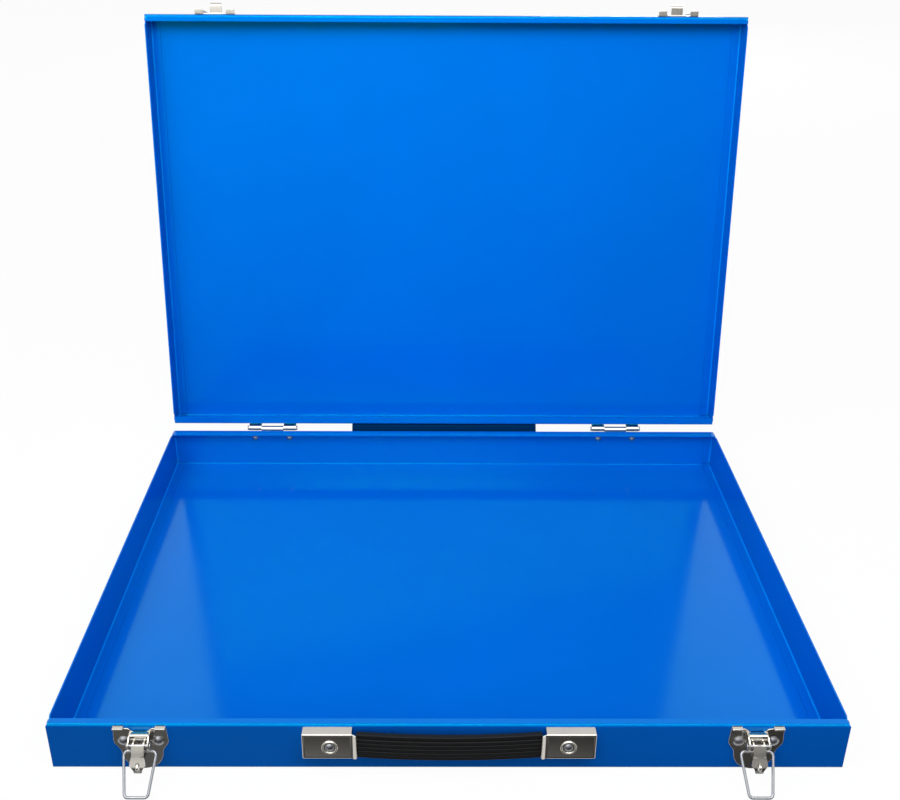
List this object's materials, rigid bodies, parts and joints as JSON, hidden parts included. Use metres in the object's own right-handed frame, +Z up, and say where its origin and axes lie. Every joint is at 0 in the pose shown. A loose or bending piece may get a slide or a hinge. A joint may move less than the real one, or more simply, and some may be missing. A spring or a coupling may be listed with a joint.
{
  "type": "metal tool case",
  "caption": "Flat painted sheet steel case with a hinged lid on a stop, draw latches with wire bails, and a strap handle between plated caps.",
  "frame": {"origin": "centre of the base's underside, on the surface that the case lies on", "axes": "+X across the case to the viewer's right, +Y from the front wall with the handle to the hinges, +Z up; the lid stands open on its stop"},
  "size_m": [0.44, 0.405, 0.3597],
  "materials": {
    "blue_paint": "glossy blue powder coat with a slight orange peel",
    "plated_steel": "bright nickel plating",
    "zinc": "zinc plated, half matt",
    "black_plastic": "black, half matt, with ribs along it"
  },
  "bodies": {
    "base": {"base_pan": "blue_paint", "base_left_end": "blue_paint", "base_right_end": "blue_paint", "lid_stop": "blue_paint", "left_hinge_base_leaf": "plated_steel", "right_hinge_base_leaf": "plated_steel", "left_hinge_pin": "zinc", "right_hinge_pin": "zinc", "hinge_base_rivets": "zinc", "left_latch_plate": "plated_steel", "right_latch_plate": "plated_steel", "latch_rivets": "zinc", "left_lever_pin": "zinc", "right_lever_pin": "zinc", "left_handle_cap": "plated_steel", "right_handle_cap": "plated_steel", "handle_rivets": "zinc", "handle_washers": "zinc", "strap_left_end": "zinc", "strap_right_end": "zinc"},
    "lid": {"lid_pan": "blue_paint", "lid_left_end": "blue_paint", "lid_right_end": "blue_paint", "left_hinge_lid_leaf": "plated_steel", "right_hinge_lid_leaf": "plated_steel", "hinge_lid_rivets": "zinc", "left_keeper": "plated_steel", "right_keeper": "plated_steel", "keeper_rivets": "zinc"},
    "left_lever": {"left_lever": "plated_steel"},
    "right_lever": {"right_lever": "plated_steel"},
    "left_bail": {"left_bail": "zinc"},
    "right_bail": {"right_bail": "zinc"},
    "grip": {"handle_grip": "black_plastic", "strap_middle": "zinc", "grip_left_end": "black_plastic", "grip_right_end": "black_plastic"}
  },
  "joints": [
    {"name": "lid_hinge", "type": "hinge", "parent": "base", "child": "lid", "pos_m": [0, 0.1633, 0.0322], "axis": [1, 0, 0], "range_deg": [0, 97.4]},
    {"name": "left_lever_hinge", "type": "hinge", "parent": "base", "child": "left_lever", "pos_m": [-0.1687, -0.166, 0.0228], "axis": [-1, 0, 0], "range_deg": [0, 150]},
    {"name": "left_bail_hinge", "type": "hinge", "parent": "left_lever", "child": "left_bail", "pos_m": [-0.1687, -0.1644, 0.0174], "axis": [1, 0, 0], "range_deg": [-134, 0]},
    {"name": "right_lever_hinge", "type": "hinge", "parent": "base", "child": "right_lever", "pos_m": [0.1687, -0.166, 0.0228], "axis": [-1, 0, 0], "range_deg": [0, 150]},
    {"name": "right_bail_hinge", "type": "hinge", "parent": "right_lever", "child": "right_bail", "pos_m": [0.1687, -0.1644, 0.0174], "axis": [1, 0, 0], "range_deg": [-134, 0]},
    {"name": "handle_pull", "type": "slide", "parent": "base", "child": "grip", "axis": [0, -1, 0], "range_m": [0, 0.014], "stiffness_N_per_m": 200, "deforming": ["grip_left_end", "grip_right_end", "strap_left_end", "strap_right_end"]}
  ]
}
